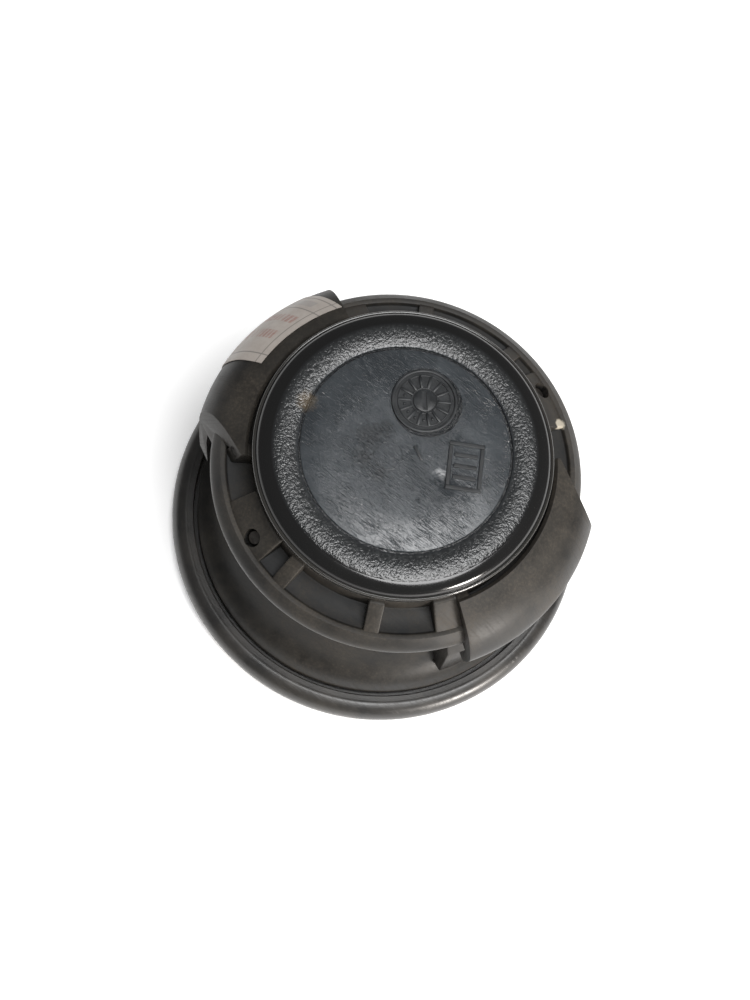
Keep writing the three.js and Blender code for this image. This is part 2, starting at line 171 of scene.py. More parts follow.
def times(tree, a, b):
    return math(tree, "MULTIPLY", a, b)


def plus(tree, a, b):
    return math(tree, "ADD", a, b)


def stretch(tree, value, low, high, toLow=0.0, toHigh=1.0):
    return add(tree, "ShaderNodeMapRange", {"Value": value, "From Min": low, "From Max": high,
                                            "To Min": toLow, "To Max": toHigh}).outputs[0]


def inside(tree, value, low, high, soft):
    up = stretch(tree, value, low - soft, low + soft)
    down = stretch(tree, value, high - soft, high + soft, 1.0, 0.0)
    return times(tree, up, down)


def noise(tree, where, size, detail=4.0, rough=0.6):
    return add(tree, "ShaderNodeTexNoise", {"Vector": where, "Scale": 1 / (size * mm), "Detail": detail,
                                            "Roughness": rough}).outputs[0]


def mapped(tree, where, turn, scale):
    return add(tree, "ShaderNodeMapping", {"Vector": where, "Rotation": turn, "Scale": scale}).outputs[0]


def blendColour(tree, share, a, b):
    node = add(tree, "ShaderNodeMix", data_type="RGBA")
    for index, value in ((0, share), (6, a), (7, b)):
        if isinstance(value, bpy.types.NodeSocket):
            tree.links.new(value, node.inputs[index])
        else:
            node.inputs[index].default_value = value if index == 0 else (*value, 1)
    return node.outputs[2]


def bump(tree, height, depth, strength, under=None):
    values = {"Height": height, "Distance": depth * mm, "Strength": strength}
    if under is not None:
        values["Normal"] = under
    return add(tree, "ShaderNodeBump", values).outputs[0]


def startLook(name):
    look = bpy.data.materials.new(name)
    look.use_nodes = True
    tree = look.node_tree
    shader = tree.nodes["Principled BSDF"]
    where = add(tree, "ShaderNodeTexCoord").outputs["Object"]
    return look, tree, shader, where


def polar(tree, where):
    parts = add(tree, "ShaderNodeSeparateXYZ", {0: where}).outputs
    squares = plus(tree, times(tree, parts[0], parts[0]), times(tree, parts[1], parts[1]))
    radius = math(tree, "DIVIDE", math(tree, "SQRT", squares), mm)
    height = math(tree, "DIVIDE", parts[2], mm)
    return radius, height


def spot(tree, where, at, size, edge):
    apart = add(tree, "ShaderNodeVectorMath", {0: where, 1: Vector(at) * mm}, operation="DISTANCE")
    reach = apart.outputs["Value"]
    ragged = plus(tree, reach, times(tree, noise(tree, where, 0.5), edge * mm))
    return stretch(tree, ragged, (size + edge * 0.3) * mm, (size + edge * 0.8) * mm, 1.0, 0.0)


# fine straight scratches running across a surface
def scratches(tree, where, turn, spacing, length, amount):
    scale = (1 / (length * mm), 1 / (spacing * mm), 1 / (length * mm))
    laid = mapped(tree, where, (0, 0, radians(turn)), scale)
    lines = add(tree, "ShaderNodeTexNoise", {"Vector": laid, "Scale": 1.0, "Detail": 2.0, "Roughness": 0.5,
                                             "Distortion": 0.15}).outputs[0]
    return stretch(tree, lines, 1 - amount - 0.06, 1 - amount)


# floor: painted shade colour for the pocket floors between the ribs
housingFinish = {"dark": (0.009, 0.0088, 0.0085), "light": (0.022, 0.0208, 0.0188),
                 "dust": (0.072, 0.060, 0.046), "floor": (0.007, 0.008, 0.009), "paleSpot": (0.34, 0.31, 0.25),
                 "paleSpotR": 20.7, "paleSpotAngle": 52.6, "gloss": 0.24}


def housingLook():
    look, tree, shader, where = startLook("housingPlastic")
    radius, height = polar(tree, where)
    mottle = noise(tree, where, 5, 6, 0.65)
    grain = noise(tree, where, 0.22, 5, 0.7)
    base = blendColour(tree, stretch(tree, mottle, 0.35, 0.68), housingFinish["dark"], housingFinish["light"])
    # painted shade: the pocket floors between the ribs are darkened to a bluish near-black, as if shaded in
    # their recesses; they are also made rougher
    pocket = times(tree, inside(tree, radius, tubeR, rimR - 1.7, 0.25),
                  inside(tree, height, collarZ - 0.2, collarZ + 0.25, 0.08))
    base = blendColour(tree, times(tree, pocket, 0.7), base, housingFinish["floor"])
    # dust lies in a broad patchwork, thicker on the ribs and along the rim
    rearBand = times(tree, inside(tree, height, collarZ + 0.3, topZ - 2, 0.3),
                    stretch(tree, radius, rimR - 1.5, rimR - 0.5, 1.0, 0.1))
    patch = stretch(tree, noise(tree, where, 9, 5, 0.7), 0.42, 0.66)
    speck = stretch(tree, noise(tree, where, 0.35, 3, 0.8), 0.45, 0.75)
    settled = plus(tree, times(tree, patch, 0.35), times(tree, rearBand, 0.22))
    dusty = times(tree, settled, plus(tree, speck, 0.45))
    base = blendColour(tree, dusty, base, housingFinish["dust"])
    # a small pale cream spot on the collar rim
    paleSpotAt = around(housingFinish["paleSpotR"], housingFinish["paleSpotAngle"], collarZ + 0.75)
    paleSpot = spot(tree, where, paleSpotAt, 0.7, 0.5)
    base = blendColour(tree, paleSpot, base, housingFinish["paleSpot"])
    tree.links.new(base, shader.inputs["Base Color"])
    shader.inputs["Specular IOR Level"].default_value = housingFinish["gloss"]
    marks = scratches(tree, where, 24, 0.12, 6, 0.36)
    rough = plus(tree, stretch(tree, mottle, 0.3, 0.7, 0.34, 0.46), times(tree, dusty, 0.5))
    rough = plus(tree, rough, times(tree, pocket, 0.14))
    tree.links.new(plus(tree, rough, times(tree, marks, 0.06)), shader.inputs["Roughness"])
    wavy = bump(tree, noise(tree, where, 3, 2), 0.12, 0.25)
    fine = bump(tree, grain, 0.03, 0.35, wavy)
    tree.links.new(bump(tree, marks, 0.01, 0.25, fine), shader.inputs["Normal"])
    return look


# date dial, in its own frame on the cap face; the finish of the cap reads its place too
dialSizes = {"radius": 6.53, "angle": 106.3, "outerR": 4.0, "rimW": 0.36, "ringR": 3.1, "ringW": 0.16,
             "hubR": 1.38, "spokes": 14, "spokeW": 0.34, "deep": 0.22, "moat": 4.3, "moatShift": (0.42, -0.1),
             "dotR": 0.2, "dotAt": 2.45, "dots": range(7, 13), "slot": (0.5, 2.3, 0.3), "slotTurn": 32,
             "turn": 8}
dialAt = around(dialSizes["radius"], dialSizes["angle"])
moatAt = (dialAt[0] + dialSizes["moatShift"][0], dialAt[1] + dialSizes["moatShift"][1])
# dark: colour of the painted shade in the groove, of the painted moat shadow and of the dark patches on the
# face
capFinish = {"disc": (0.024, 0.028, 0.032), "worn": (0.056, 0.063, 0.069),
             "ring": (0.016, 0.017, 0.018), "ringWorn": (0.030, 0.032, 0.033),
             "shoulder": (0.006, 0.006, 0.006), "lip": (0.020, 0.019, 0.017),
             "stain": (0.10, 0.075, 0.045), "dark": (0.008, 0.009, 0.010),
             "grooveR": 12.7, "ringR": 15.9, "stainR": 13, "stainAngle": 191.7,
             "patches": ((196, 4.6, 1.3), (172, 3.4, 0.8), (230, 5.2, 1.0), (262, 4.4, 0.7))}


def capLook():
    look, tree, shader, where = startLook("capPlastic")
    radius = polar(tree, where)[0]
    grooveR = capFinish["grooveR"]
    onDisc = stretch(tree, radius, grooveR - 0.1, grooveR + 0.1, 1.0, 0.0)
    onRing = inside(tree, radius, grooveR + 0.15, capFinish["ringR"], 0.25)
    cloud = noise(tree, where, 4.5, 6, 0.65)
    scuffed = stretch(tree, noise(tree, where, 3.2, 3, 0.7), 0.5, 0.62)
    rub = times(tree, scratches(tree, where, -64, 0.10, 1.6, 0.38), scuffed)
    rubTwo = times(tree, scratches(tree, where, -28, 0.07, 1.1, 0.36), stretch(tree, scuffed, 0, 1, 0.3, 1))
    rubThree = times(tree, scratches(tree, where, 78, 0.13, 2.0, 0.4), stretch(tree, cloud, 0.5, 0.4))
    wear = plus(tree, stretch(tree, cloud, 0.42, 0.7, 0.0, 0.7), times(tree, plus(tree, rub, rubTwo), 0.3))
    worn = times(tree, wear, onDisc)
    base = blendColour(tree, worn, capFinish["disc"], capFinish["worn"])
    sparkle = noise(tree, where, 0.34, 2, 0.6)
    ringTone = blendColour(tree, stretch(tree, sparkle, 0.42, 0.66), capFinish["ring"], capFinish["ringWorn"])
    base = blendColour(tree, onRing, base, ringTone)
    # painted shade: the witness groove is darkened to near-black, as if shaded in its recess
    grooveShade = inside(tree, radius, grooveR - 0.12, grooveR + 0.12, 0.05)
    base = blendColour(tree, grooveShade, base, capFinish["dark"])
    # dark patches on the face near the middle, and a dark crescent beside the dial
    for angle, away, size in capFinish["patches"]:
        patch = times(tree, spot(tree, where, around(away, angle, topZ), size, 2.4), 0.6)
        base = blendColour(tree, patch, base, capFinish["dark"])
    # painted shadow: the moat around the dial is darkened in a crescent, as if shaded in its recess
    moatShadow = times(tree, spot(tree, where, (*moatAt, topZ), dialSizes["moat"] - 0.05, 0.1), 0.85)
    base = blendColour(tree, moatShadow, base, capFinish["dark"])
    base = blendColour(tree, stretch(tree, radius, 15.35, 16.0), base, capFinish["shoulder"])
    base = blendColour(tree, inside(tree, radius, capR - 0.35, capR + 1, 0.05), base, capFinish["lip"])
    stainAt = around(capFinish["stainR"], capFinish["stainAngle"], topZ)
    base = blendColour(tree, times(tree, spot(tree, where, stainAt, 1.0, 1.6), 0.5), base, capFinish["stain"])
    tree.links.new(base, shader.inputs["Base Color"])
    rough = plus(tree, stretch(tree, cloud, 0.3, 0.7, 0.11, 0.17), times(tree, onRing, 0.02))
    rough = math(tree, "SUBTRACT", rough, times(tree, worn, 0.06))
    tree.links.new(rough, shader.inputs["Roughness"])
    grain = times(tree, sparkle, onRing)
    coarse = bump(tree, grain, 0.1, 1.0)
    discGrain = times(tree, noise(tree, where, 0.3, 5, 0.75), onDisc)
    fine = bump(tree, discGrain, 0.06, 0.5, coarse)
    lines = times(tree, plus(tree, rub, plus(tree, rubTwo, rubThree)), onDisc)
    tree.links.new(bump(tree, lines, 0.05, 0.7, fine), shader.inputs["Normal"])
    return look


# a moulded, painted or pressed surface with uneven tone, wear and grain
def surfaceLook(name, dark, light, rough, metallic=0.0, patch=4.0, grain=0.2, depth=0.02, strength=0.3,
                dust=None, gloss=0.5):
    look, tree, shader, where = startLook(name)
    tone = stretch(tree, noise(tree, where, patch, 5, 0.65), 0.35, 0.68)
    base = blendColour(tree, tone, dark, light)
    lines = scratches(tree, where, 20, 0.12, 4, 0.38)
    if dust is not None:
        cover = stretch(tree, noise(tree, where, patch * 1.6, 6, 0.75), 0.45, 0.75)
        base = blendColour(tree, times(tree, cover, 0.45), base, dust)
    tree.links.new(base, shader.inputs["Base Color"])
    wear = times(tree, lines, 0.08)
    roughness = plus(tree, stretch(tree, tone, 0, 1, rough[0], rough[1]), wear)
    tree.links.new(roughness, shader.inputs["Roughness"])
    shader.inputs["Metallic"].default_value = metallic
    shader.inputs["Specular IOR Level"].default_value = gloss
    fine = bump(tree, noise(tree, where, grain, 4, 0.7), depth, strength)
    tree.links.new(bump(tree, lines, depth * 0.6, 0.3, fine), shader.inputs["Normal"])
    return look


waveLength = 0.314      # scale that gives a wave texture one band for each unit


# cloth: two crossing sets of threads
def wovenLook(name, dark, light, thread, rough):
    look, tree, shader, where = startLook(name)
    ways = []
    for direction in ("X", "Y"):
        values = {"Vector": where, "Scale": waveLength / (thread * mm), "Distortion": 0.6, "Detail": 2.0,
                  "Detail Scale": 2.0}
        wave = add(tree, "ShaderNodeTexWave", values, bands_direction=direction, wave_profile="SIN")
        ways.append(wave.outputs["Fac"])
    weave = math(tree, "MAXIMUM", ways[0], ways[1])
    fuzz = noise(tree, where, thread * 0.6, 3, 0.7)
    base = blendColour(tree, times(tree, weave, stretch(tree, fuzz, 0.2, 0.8)), dark, light)
    tree.links.new(base, shader.inputs["Base Color"])
    tree.links.new(stretch(tree, fuzz, 0.3, 0.7, rough - 0.08, rough + 0.05), shader.inputs["Roughness"])
    shader.inputs["Sheen Weight"].default_value = 0.25
    tree.links.new(bump(tree, weave, thread * 0.4, 0.6, bump(tree, fuzz, 0.02, 0.4)), shader.inputs["Normal"])
    return look


# open-celled foam
def foamLook(name, dark, light):
    look, tree, shader, where = startLook(name)
    cells = add(tree, "ShaderNodeTexVoronoi", {"Vector": where, "Scale": 1 / (0.7 * mm)}).outputs["Distance"]
    base = blendColour(tree, stretch(tree, cells, 0.1, 0.6), light, dark)
    tree.links.new(base, shader.inputs["Base Color"])
    tree.links.new(stretch(tree, noise(tree, where, 2), 0.3, 0.7, 0.86, 0.98), shader.inputs["Roughness"])
    tree.links.new(bump(tree, cells, 0.4, 0.8), shader.inputs["Normal"])
    return look


# wound wire: fine turns along the coil's axis
def windingLook(name, dark, light):
    look, tree, shader, where = startLook(name)
    values = {"Vector": where, "Scale": waveLength / (0.12 * mm), "Distortion": 0.1}
    wave = add(tree, "ShaderNodeTexWave", values, bands_direction="Z", wave_profile="SIN")
    turns = wave.outputs["Fac"]
    tone = noise(tree, where, 1.2, 4)
    base = blendColour(tree, times(tree, turns, stretch(tree, tone, 0.2, 0.7)), dark, light)
    tree.links.new(base, shader.inputs["Base Color"])
    tree.links.new(stretch(tree, tone, 0.3, 0.7, 0.24, 0.4), shader.inputs["Roughness"])
    shader.inputs["Metallic"].default_value = 1.0
    tree.links.new(bump(tree, turns, 0.05, 0.7), shader.inputs["Normal"])
    return look


labelFinish = {"paper": (0.36, 0.325, 0.295), "aged": (0.26, 0.228, 0.20), "line": (0.10, 0.095, 0.09),
               "faded": (0.25, 0.115, 0.098), "tint": (0.235, 0.225, 0.215)}


def labelLook():
    look, tree, shader, where = startLook("labelPaper")
    plan = add(tree, "ShaderNodeUVMap", uv_map="print").outputs[0]
    parts = add(tree, "ShaderNodeSeparateXYZ", {0: plan}).outputs
    along, across = parts[0], parts[1]
    aged = stretch(tree, noise(tree, where, 2.5, 6, 0.7), 0.4, 0.75)
    base = blendColour(tree, times(tree, aged, 0.6), labelFinish["paper"], labelFinish["aged"])
    soft = 0.004
    # a tinted box, then two rows of short faded bars
    box = times(tree, inside(tree, along, 0.11, 0.20, soft), inside(tree, across, 0.18, 0.78, soft))
    base = blendColour(tree, times(tree, box, 0.55), base, labelFinish["tint"])
    for low, high, count in ((0.37, 0.47, 15.0), (0.60, 0.71, 19.0)):
        place = times(tree, across, count)
        number = math(tree, "FLOOR", plus(tree, place, low * 50))
        chance = add(tree, "ShaderNodeTexWhiteNoise", {"W": number}, noise_dimensions="1D").outputs["Value"]
        bar = inside(tree, math(tree, "FRACT", place), 0.12, 0.8, 0.08)
        row = times(tree, bar, stretch(tree, chance, 0.12, 0.3))
        row = times(tree, row, inside(tree, along, low, high, soft))
        row = times(tree, row, inside(tree, across, 0.12, 0.86, soft))
        worn = stretch(tree, noise(tree, where, 0.35, 3, 0.8), 0.3, 0.6, 0.2, 0.8)
        base = blendColour(tree, times(tree, row, worn), base, labelFinish["faded"])
    lines = None
    for value, at in ((along, 0.055), (along, 0.25), (along, 0.90), (across, 0.91)):
        line = inside(tree, value, at - 0.006, at + 0.006, 0.004)
        lines = line if lines is None else math(tree, "MAXIMUM", lines, line)
    base = blendColour(tree, times(tree, lines, 0.75), base, labelFinish["line"])
    tree.links.new(base, shader.inputs["Base Color"])
    tree.links.new(stretch(tree, aged, 0, 1, 0.42, 0.62), shader.inputs["Roughness"])
    crease = noise(tree, where, 1.6, 3, 0.6)
    fine = bump(tree, noise(tree, where, 0.12, 3), 0.01, 0.3)
    tree.links.new(bump(tree, crease, 0.12, 0.35, fine), shader.inputs["Normal"])
    return look


looks = {
    "housing": housingLook(),
    "cap": capLook(),
    "bezel": surfaceLook("bezelPlastic", (0.012, 0.012, 0.012), (0.024, 0.022, 0.020), (0.28, 0.38), patch=6,
                         grain=0.25, depth=0.02, strength=0.25, dust=(0.06, 0.054, 0.046)),
    "grille": surfaceLook("grillePaint", (0.014, 0.014, 0.014), (0.026, 0.026, 0.027), (0.42, 0.55), 0.2,
                          grain=0.12, depth=0.02, strength=0.4),
    "plastic": surfaceLook("innerPlastic", (0.020, 0.021, 0.022), (0.035, 0.035, 0.036), (0.42, 0.56),
                           patch=3),
    "silk": wovenLook("silkWeave", (0.006, 0.006, 0.007), (0.028, 0.027, 0.030), 0.22, 0.82),
    "former": surfaceLook("formerFoil", (0.42, 0.27, 0.12), (0.60, 0.42, 0.20), (0.28, 0.42), 0.6, patch=2),
    "copper": windingLook("copperTurns", (0.28, 0.10, 0.045), (0.72, 0.34, 0.17)),
    "steel": surfaceLook("zincSteel", (0.36, 0.37, 0.38), (0.55, 0.56, 0.56), (0.28, 0.45), 1.0, patch=1.5,
                         depth=0.02, strength=0.35, dust=(0.16, 0.13, 0.10)),
    "dial": surfaceLook("dialPlastic", (0.010, 0.011, 0.012), (0.024, 0.026, 0.028), (0.3, 0.42),
                        patch=1.6, grain=0.1, depth=0.02, strength=0.4, gloss=0.3),
    "darkScrew": surfaceLook("darkScrew", (0.035, 0.032, 0.030), (0.075, 0.070, 0.064), (0.3, 0.5), 0.7,
                             patch=0.8, dust=(0.12, 0.10, 0.08)),
    "magnet": surfaceLook("nickelPlate", (0.55, 0.54, 0.51), (0.70, 0.69, 0.66), (0.14, 0.26), 1.0, patch=3),
    "brass": surfaceLook("tinnedBrass", (0.52, 0.38, 0.17), (0.70, 0.55, 0.28), (0.24, 0.4), 1.0, patch=1.8,
                         depth=0.02, strength=0.3),
    "foam": foamLook("openFoam", (0.012, 0.012, 0.012), (0.055, 0.055, 0.055)),
    "rubber": surfaceLook("softRubber", (0.010, 0.010, 0.010), (0.024, 0.024, 0.024), (0.6, 0.78), patch=2),
    "sleeve": surfaceLook("shrinkSleeve", (0.016, 0.028, 0.045), (0.028, 0.045, 0.068), (0.22, 0.36),
                          patch=3),
    "red_wire": surfaceLook("redInsulation", (0.26, 0.022, 0.016), (0.40, 0.040, 0.028), (0.34, 0.5),
                            patch=1.4),
    "label": labelLook(),
}

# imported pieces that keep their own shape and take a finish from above
carriedOver = {
    "silk": ["dust_screen", "dome", "surround"],
    "former": ["coil_former"],
    "copper": ["coil_winding", "tinsel_lead_positive", "tinsel_lead_negative"],
    "plastic": ["faceplate", "diaphragm_ring", "motor_frame"],
    "steel": ["pole_plate", "motor_cup"],
    "magnet": ["magnet"],
    "darkScrew": ["boss_screw_1", "boss_screw_2"],
    "foam": ["damping_pad", "adhesive_pad", "chamber_foam"],
    "sleeve": ["crossover_capacitor"],
    "rubber": ["wire_negative", "cap_gasket"],
    "red_wire": ["capacitor_lead_in", "capacitor_lead_out"],
}
for slotName, names in carriedOver.items():
    for name in names:
        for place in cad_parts[name].material_slots:
            place.material = looks[slotName]
print("finishes made")


# modelling helpers
def turnedZ(bm, angle):
    bmesh.ops.rotate(bm, verts=bm.verts, cent=(0, 0, 0), matrix=Matrix.Rotation(radians(angle), 3, "Z"))
    return bm


def bevelled(bm, edges, width, segments):
    bmesh.ops.bevel(bm, geom=edges, offset=width * mm, affect="EDGES", segments=segments, profile=0.5,
                    material=-1, clamp_overlap=True)
    return bm


# a smooth curve through the points
def flow(points, steps=6):
    padded = [points[0], *points, points[-1]]
    curve = []
    for i in range(1, len(padded) - 2):
        a, b, c, d = padded[i - 1:i + 3]
        for step in range(steps):
            t = step / steps
            curve.append(tuple(0.5 * (2 * q + (r - p) * t + (2 * p - 5 * q + 4 * r - s) * t * t
                                      + (3 * q - p - 3 * r + s) * t ** 3)
                               for p, q, r, s in zip(a, b, c, d)))
    return [*curve, points[-1]]


# turns an outline of (radius, height) points; one that starts on the axis is left open there
def spun(outline, start=0.0, end=360.0, steps=240):
    bm = bmesh.new()
    turn = radians(start)
    verts = [bm.verts.new((r * mm * cos(turn), r * mm * sin(turn), z * mm)) for r, z in outline]
    first = 1 if outline[0][0] == 0 else 0
    edges = [bm.edges.new((verts[i - 1], verts[i])) for i in range(first, len(verts))]
    full = end - start >= 360
    bmesh.ops.spin(bm, geom=verts + edges, cent=(0, 0, 0), axis=(0, 0, 1), angle=radians(end - start),
                   steps=steps, use_merge=full)
    bmesh.ops.remove_doubles(bm, verts=bm.verts, dist=0.002 * mm)
    if not full:
        bmesh.ops.holes_fill(bm, edges=[edge for edge in bm.edges if edge.is_boundary], sides=0)
    bmesh.ops.recalc_face_normals(bm, faces=bm.faces)
    return bm


# a flat radial plate from an outline of (radius, height) points
def slab(outline, width, angle):
    bm = bmesh.new()
    face = bm.faces.new([bm.verts.new((r * mm, -width * mm / 2, z * mm)) for r, z in outline])
    grown = bmesh.ops.extrude_face_region(bm, geom=[face], use_keep_orig=True)
    lifted = [item for item in grown["geom"] if isinstance(item, bmesh.types.BMVert)]
    bmesh.ops.translate(bm, verts=lifted, vec=(0, width * mm, 0))
    turnedZ(bm, angle)
    bmesh.ops.recalc_face_normals(bm, faces=bm.faces)
    return bm


def block(size, at, turn=0.0, edge=0.0, segments=3):
    bm = bmesh.new()
    bmesh.ops.create_cube(bm, size=1)
    bmesh.ops.scale(bm, vec=[v * mm for v in size], verts=bm.verts)
    if edge:
        bevelled(bm, bm.edges[:], edge, segments)
    bmesh.ops.translate(bm, verts=bm.verts, vec=[v * mm for v in at])
    return turnedZ(bm, turn)


def rod(radius, tipR, length, matrix, sides=48):
    bm = bmesh.new()
    bmesh.ops.create_cone(bm, cap_ends=True, segments=sides, radius1=radius * mm, radius2=tipR * mm,
                          depth=length * mm, matrix=matrix)
    return bm


# rounds every edge sharper than the angle
def soften(bm, width, segments, angle):
    edges = [edge for edge in bm.edges
             if len(edge.link_faces) == 2 and edge.calc_face_angle(0) > radians(angle)]
    return bevelled(bm, edges, width, segments)


def joined(shapes):
    whole = bmesh.new()
    for shape in shapes:
        mesh = bpy.data.meshes.new("joining")
        shape.to_mesh(mesh)
        shape.free()
        whole.from_mesh(mesh)
        bpy.data.meshes.remove(mesh)
    return whole


def cutAway(bm, cutter):
    made = []
    for name, shape in (("whole", bm), ("cutter", cutter)):
        mesh = bpy.data.meshes.new(name)
        shape.to_mesh(mesh)
        shape.free()
        made.append(bpy.data.objects.new(name, mesh))
        scene.collection.objects.link(made[-1])
    whole, knife = made
    cut = whole.modifiers.new("cut", "BOOLEAN")
    cut.operation = "DIFFERENCE"
    cut.solver = "EXACT"
    cut.object = knife
    bpy.context.view_layer.update()
    result = bmesh.new()
    result.from_object(whole, bpy.context.evaluated_depsgraph_get())
    for item in made:
        bpy.data.objects.remove(item)
    return result


sharpFrom = 38      # degrees between faces that still shade as one surface


def finishPiece(bm, name, slotName, stands=(), look=None, flat=False):
    mesh = bpy.data.meshes.new(name)
    bm.to_mesh(mesh)
    bm.free()
    mesh.shade_smooth()
    mesh.set_sharp_from_angle(angle=radians(sharpFrom))
    mesh.materials.append(looks[look or slotName])
    piece = bpy.data.objects.new(name, mesh)
    scene.collection.objects.link(piece)
    if flat:
        shading = piece.modifiers.new("flatFaces", "WEIGHTED_NORMAL")
        shading.keep_sharp = True
    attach(piece, "chassis")
    if stands:
        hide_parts(*stands)
    return piece


# housing: bell, waist, collar and rear tube
shellSizes = {"wall": 1.2, "bellR": 24.05, "neckR": 17.9, "bellFootZ": 4.5, "collarT": 3.4,
              "waistDrop": 3.4, "tubeTop": 3.5, "steps": 24, "window": (11.6, 8, 5.2), "windowZ": 15.2}
bellR, neckR, wall = shellSizes["bellR"], shellSizes["neckR"], shellSizes["wall"]
collarLowZ = collarZ - shellSizes["collarT"]
waistZ = collarLowZ - shellSizes["waistDrop"]
chamberR = tubeR - wall
wingTopZ = topZ - 3
wingFreeZ = collarZ - 6
coneTopZ = topZ - 3.8
coneTopR = capR + 0.1
coneFootR = rimR - 1.3
terminalTurn = 10


def bell(radius, footZ):
    steps = shellSizes["steps"]
    arc = [pi / 2 * i / steps for i in range(steps + 1)]
    return [(bellR - (bellR - radius) * sin(a), waistZ - (waistZ - footZ) * cos(a)) for a in arc]


def shellOutline():
    footZ = shellSizes["bellFootZ"]
    under = flow([(neckR, waistZ), (neckR + 0.2, collarLowZ - 1.6), (neckR + 1.2, collarLowZ - 0.4),
                  (rimR - 0.9, collarLowZ + 0.5), (rimR, collarLowZ + 1.5), (rimR - 0.05, collarZ - 0.8),
                  (rimR - 1.1, collarZ + 0.5)], 6)
    tubeTopZ = topZ - shellSizes["tubeTop"]
    rear = [(rimR - 1.7, collarZ + 0.5), (rimR - 1.9, collarZ), (tubeR, collarZ), (tubeR, tubeTopZ),
            (chamberR, tubeTopZ), (chamberR, collarLowZ + 0.8), (neckR - wall, collarLowZ + 0.3)]
    inner = [point for point in bell(neckR - wall, footZ - 0.5) if point[0] < bellR - wall][::-1]
    return [(bellR, bellFrontZ), *bell(neckR, footZ), *under[1:], *rear, *inner,
            (bellR - wall, footZ - 0.5), (bellR - wall, bellFrontZ)]


bossSizes = {"start": 51.5, "end": 73.5, "holeR": 1.1, "hole": 66, "deep": 3.9, "mouthR": 1.35}
coneSlope = atan2(coneTopZ - collarZ - 0.3, coneFootR - coneTopR)
bossMid = ((coneTopR + coneFootR) / 2 + 0.4, (coneTopZ + collarZ + 0.3) / 2 - 0.6)


def bossHoles():
    shapes = []
    for turn in (0, 180):
        spin = Matrix.Rotation(radians(bossSizes["hole"] + turn), 4, "Z")
        lean = Matrix.Rotation(coneSlope, 4, "Y")
        stand = Matrix.Translation((bossMid[0] * mm, 0, bossMid[1] * mm))
        deep = bossSizes["deep"]
        for radius, tip, low, high in ((bossSizes["holeR"], bossSizes["holeR"], -deep, 3),
                                       (bossSizes["holeR"], bossSizes["mouthR"] + 0.3, 0, 0.5)):
            along = Matrix.Translation((0, 0, (low + high) / 2 * mm))
            shapes.append(rod(radius, tip, high - low, spin @ stand @ lean @ along))
    return shapes


def makeHousing():
    bm = soften(spun(shellOutline(), steps=256), 0.12, 2, 50)
    window = block(shellSizes["window"], (0, neckR + 1, shellSizes["windowZ"]), terminalTurn)
    holes = bossHoles()
    bm = cutAway(bm, joined([window, holes[0], holes[2]]))
    return finishPiece(bm, "housingShell", "housing", ["housing"])


# twist-lock wings with a rolled skin and a tucked-in free edge
wingSizes = {"start": -33, "end": 38, "edge": 0.22, "leadAngle": 62, "leadReach": 18, "leadDrop": 1.5,
             "leadSlope": 0.28, "endWall": 1.6, "endInset": 2.5}
wingCurve = flow([(wingR - 0.6, wingFreeZ), (wingR - 0.1, wingFreeZ + 2), (wingR, wingFreeZ + 4),
                  (wingR - 1.4, wingFreeZ + 6.6), (wingR - 3.5, wingFreeZ + 8.3), (capR + 0.8, wingTopZ)], 7)
wallOutline = [(tubeR - 0.6, collarZ - 0.6), (rimR - 0.4, collarZ - 1), (rimR, collarZ + 0.8),
               (wingR - 3.9, wingFreeZ + 8.1), (capR + 0.8, wingTopZ - 0.35), (tubeR - 0.6, wingTopZ - 0.9)]


def wingShape(turn):
    outline = [*wingCurve, (capR + 0.4, wingTopZ - 0.4), (capR + 0.7, wingTopZ - 2),
               (rimR - 2, collarZ + 1.2), (rimR - 1.2, collarZ), (rimR - 2, collarZ - 1),
               (rimR - 2, collarZ - 2.4), (wingR - 1.4, collarZ - 2.8),
               (wingR - 1.4, wingFreeZ + 2), (wingR - 1.8, wingFreeZ)]
    return spun(outline, wingSizes["start"] + turn, wingSizes["end"] + turn, 72)


# the leading end is cut off by one sloping plane
def trimLead(bm, turn):
    lead = radians(wingSizes["leadAngle"] + turn)
    reach = wingSizes["leadReach"]
    on = Vector((reach * cos(lead), reach * sin(lead), wingTopZ - wingSizes["leadDrop"])) * mm
    off = Vector((cos(lead), sin(lead), wingSizes["leadSlope"])).normalized()
    bmesh.ops.bisect_plane(bm, geom=bm.verts[:] + bm.edges[:] + bm.faces[:], plane_co=on, plane_no=off,
                           clear_outer=True)
    bmesh.ops.holes_fill(bm, edges=[edge for edge in bm.edges if edge.is_boundary], sides=0)
    bmesh.ops.recalc_face_normals(bm, faces=bm.faces)
    return bm


def makeWings():
    for number, turn in ((1, 0), (2, 180)):
        shapes = [soften(trimLead(wingShape(turn), turn), wingSizes["edge"], 3, 40)]
        for angle in (wingSizes["start"] + wingSizes["endInset"], wingSizes["end"] - wingSizes["endInset"]):
            endWall = trimLead(slab(wallOutline, wingSizes["endWall"], angle + turn), turn)
            shapes.append(soften(endWall, 0.2, 3, 30))
        finishPiece(joined(shapes), f"wing_{number}", "housing")


# ribs, gussets, screw bosses and the stops under the wings
ribSizes = {"angles": [83, 117], "width": 1.9, "gusset": [-42, -31.5], "foot": [-34, -25], "edge": 0.16}
coneOutline = [(tubeR - 0.6, collarZ - 0.6), (coneFootR, collarZ - 0.6), (coneFootR, collarZ + 0.25),
               (coneTopR, coneTopZ), (tubeR - 0.6, coneTopZ)]


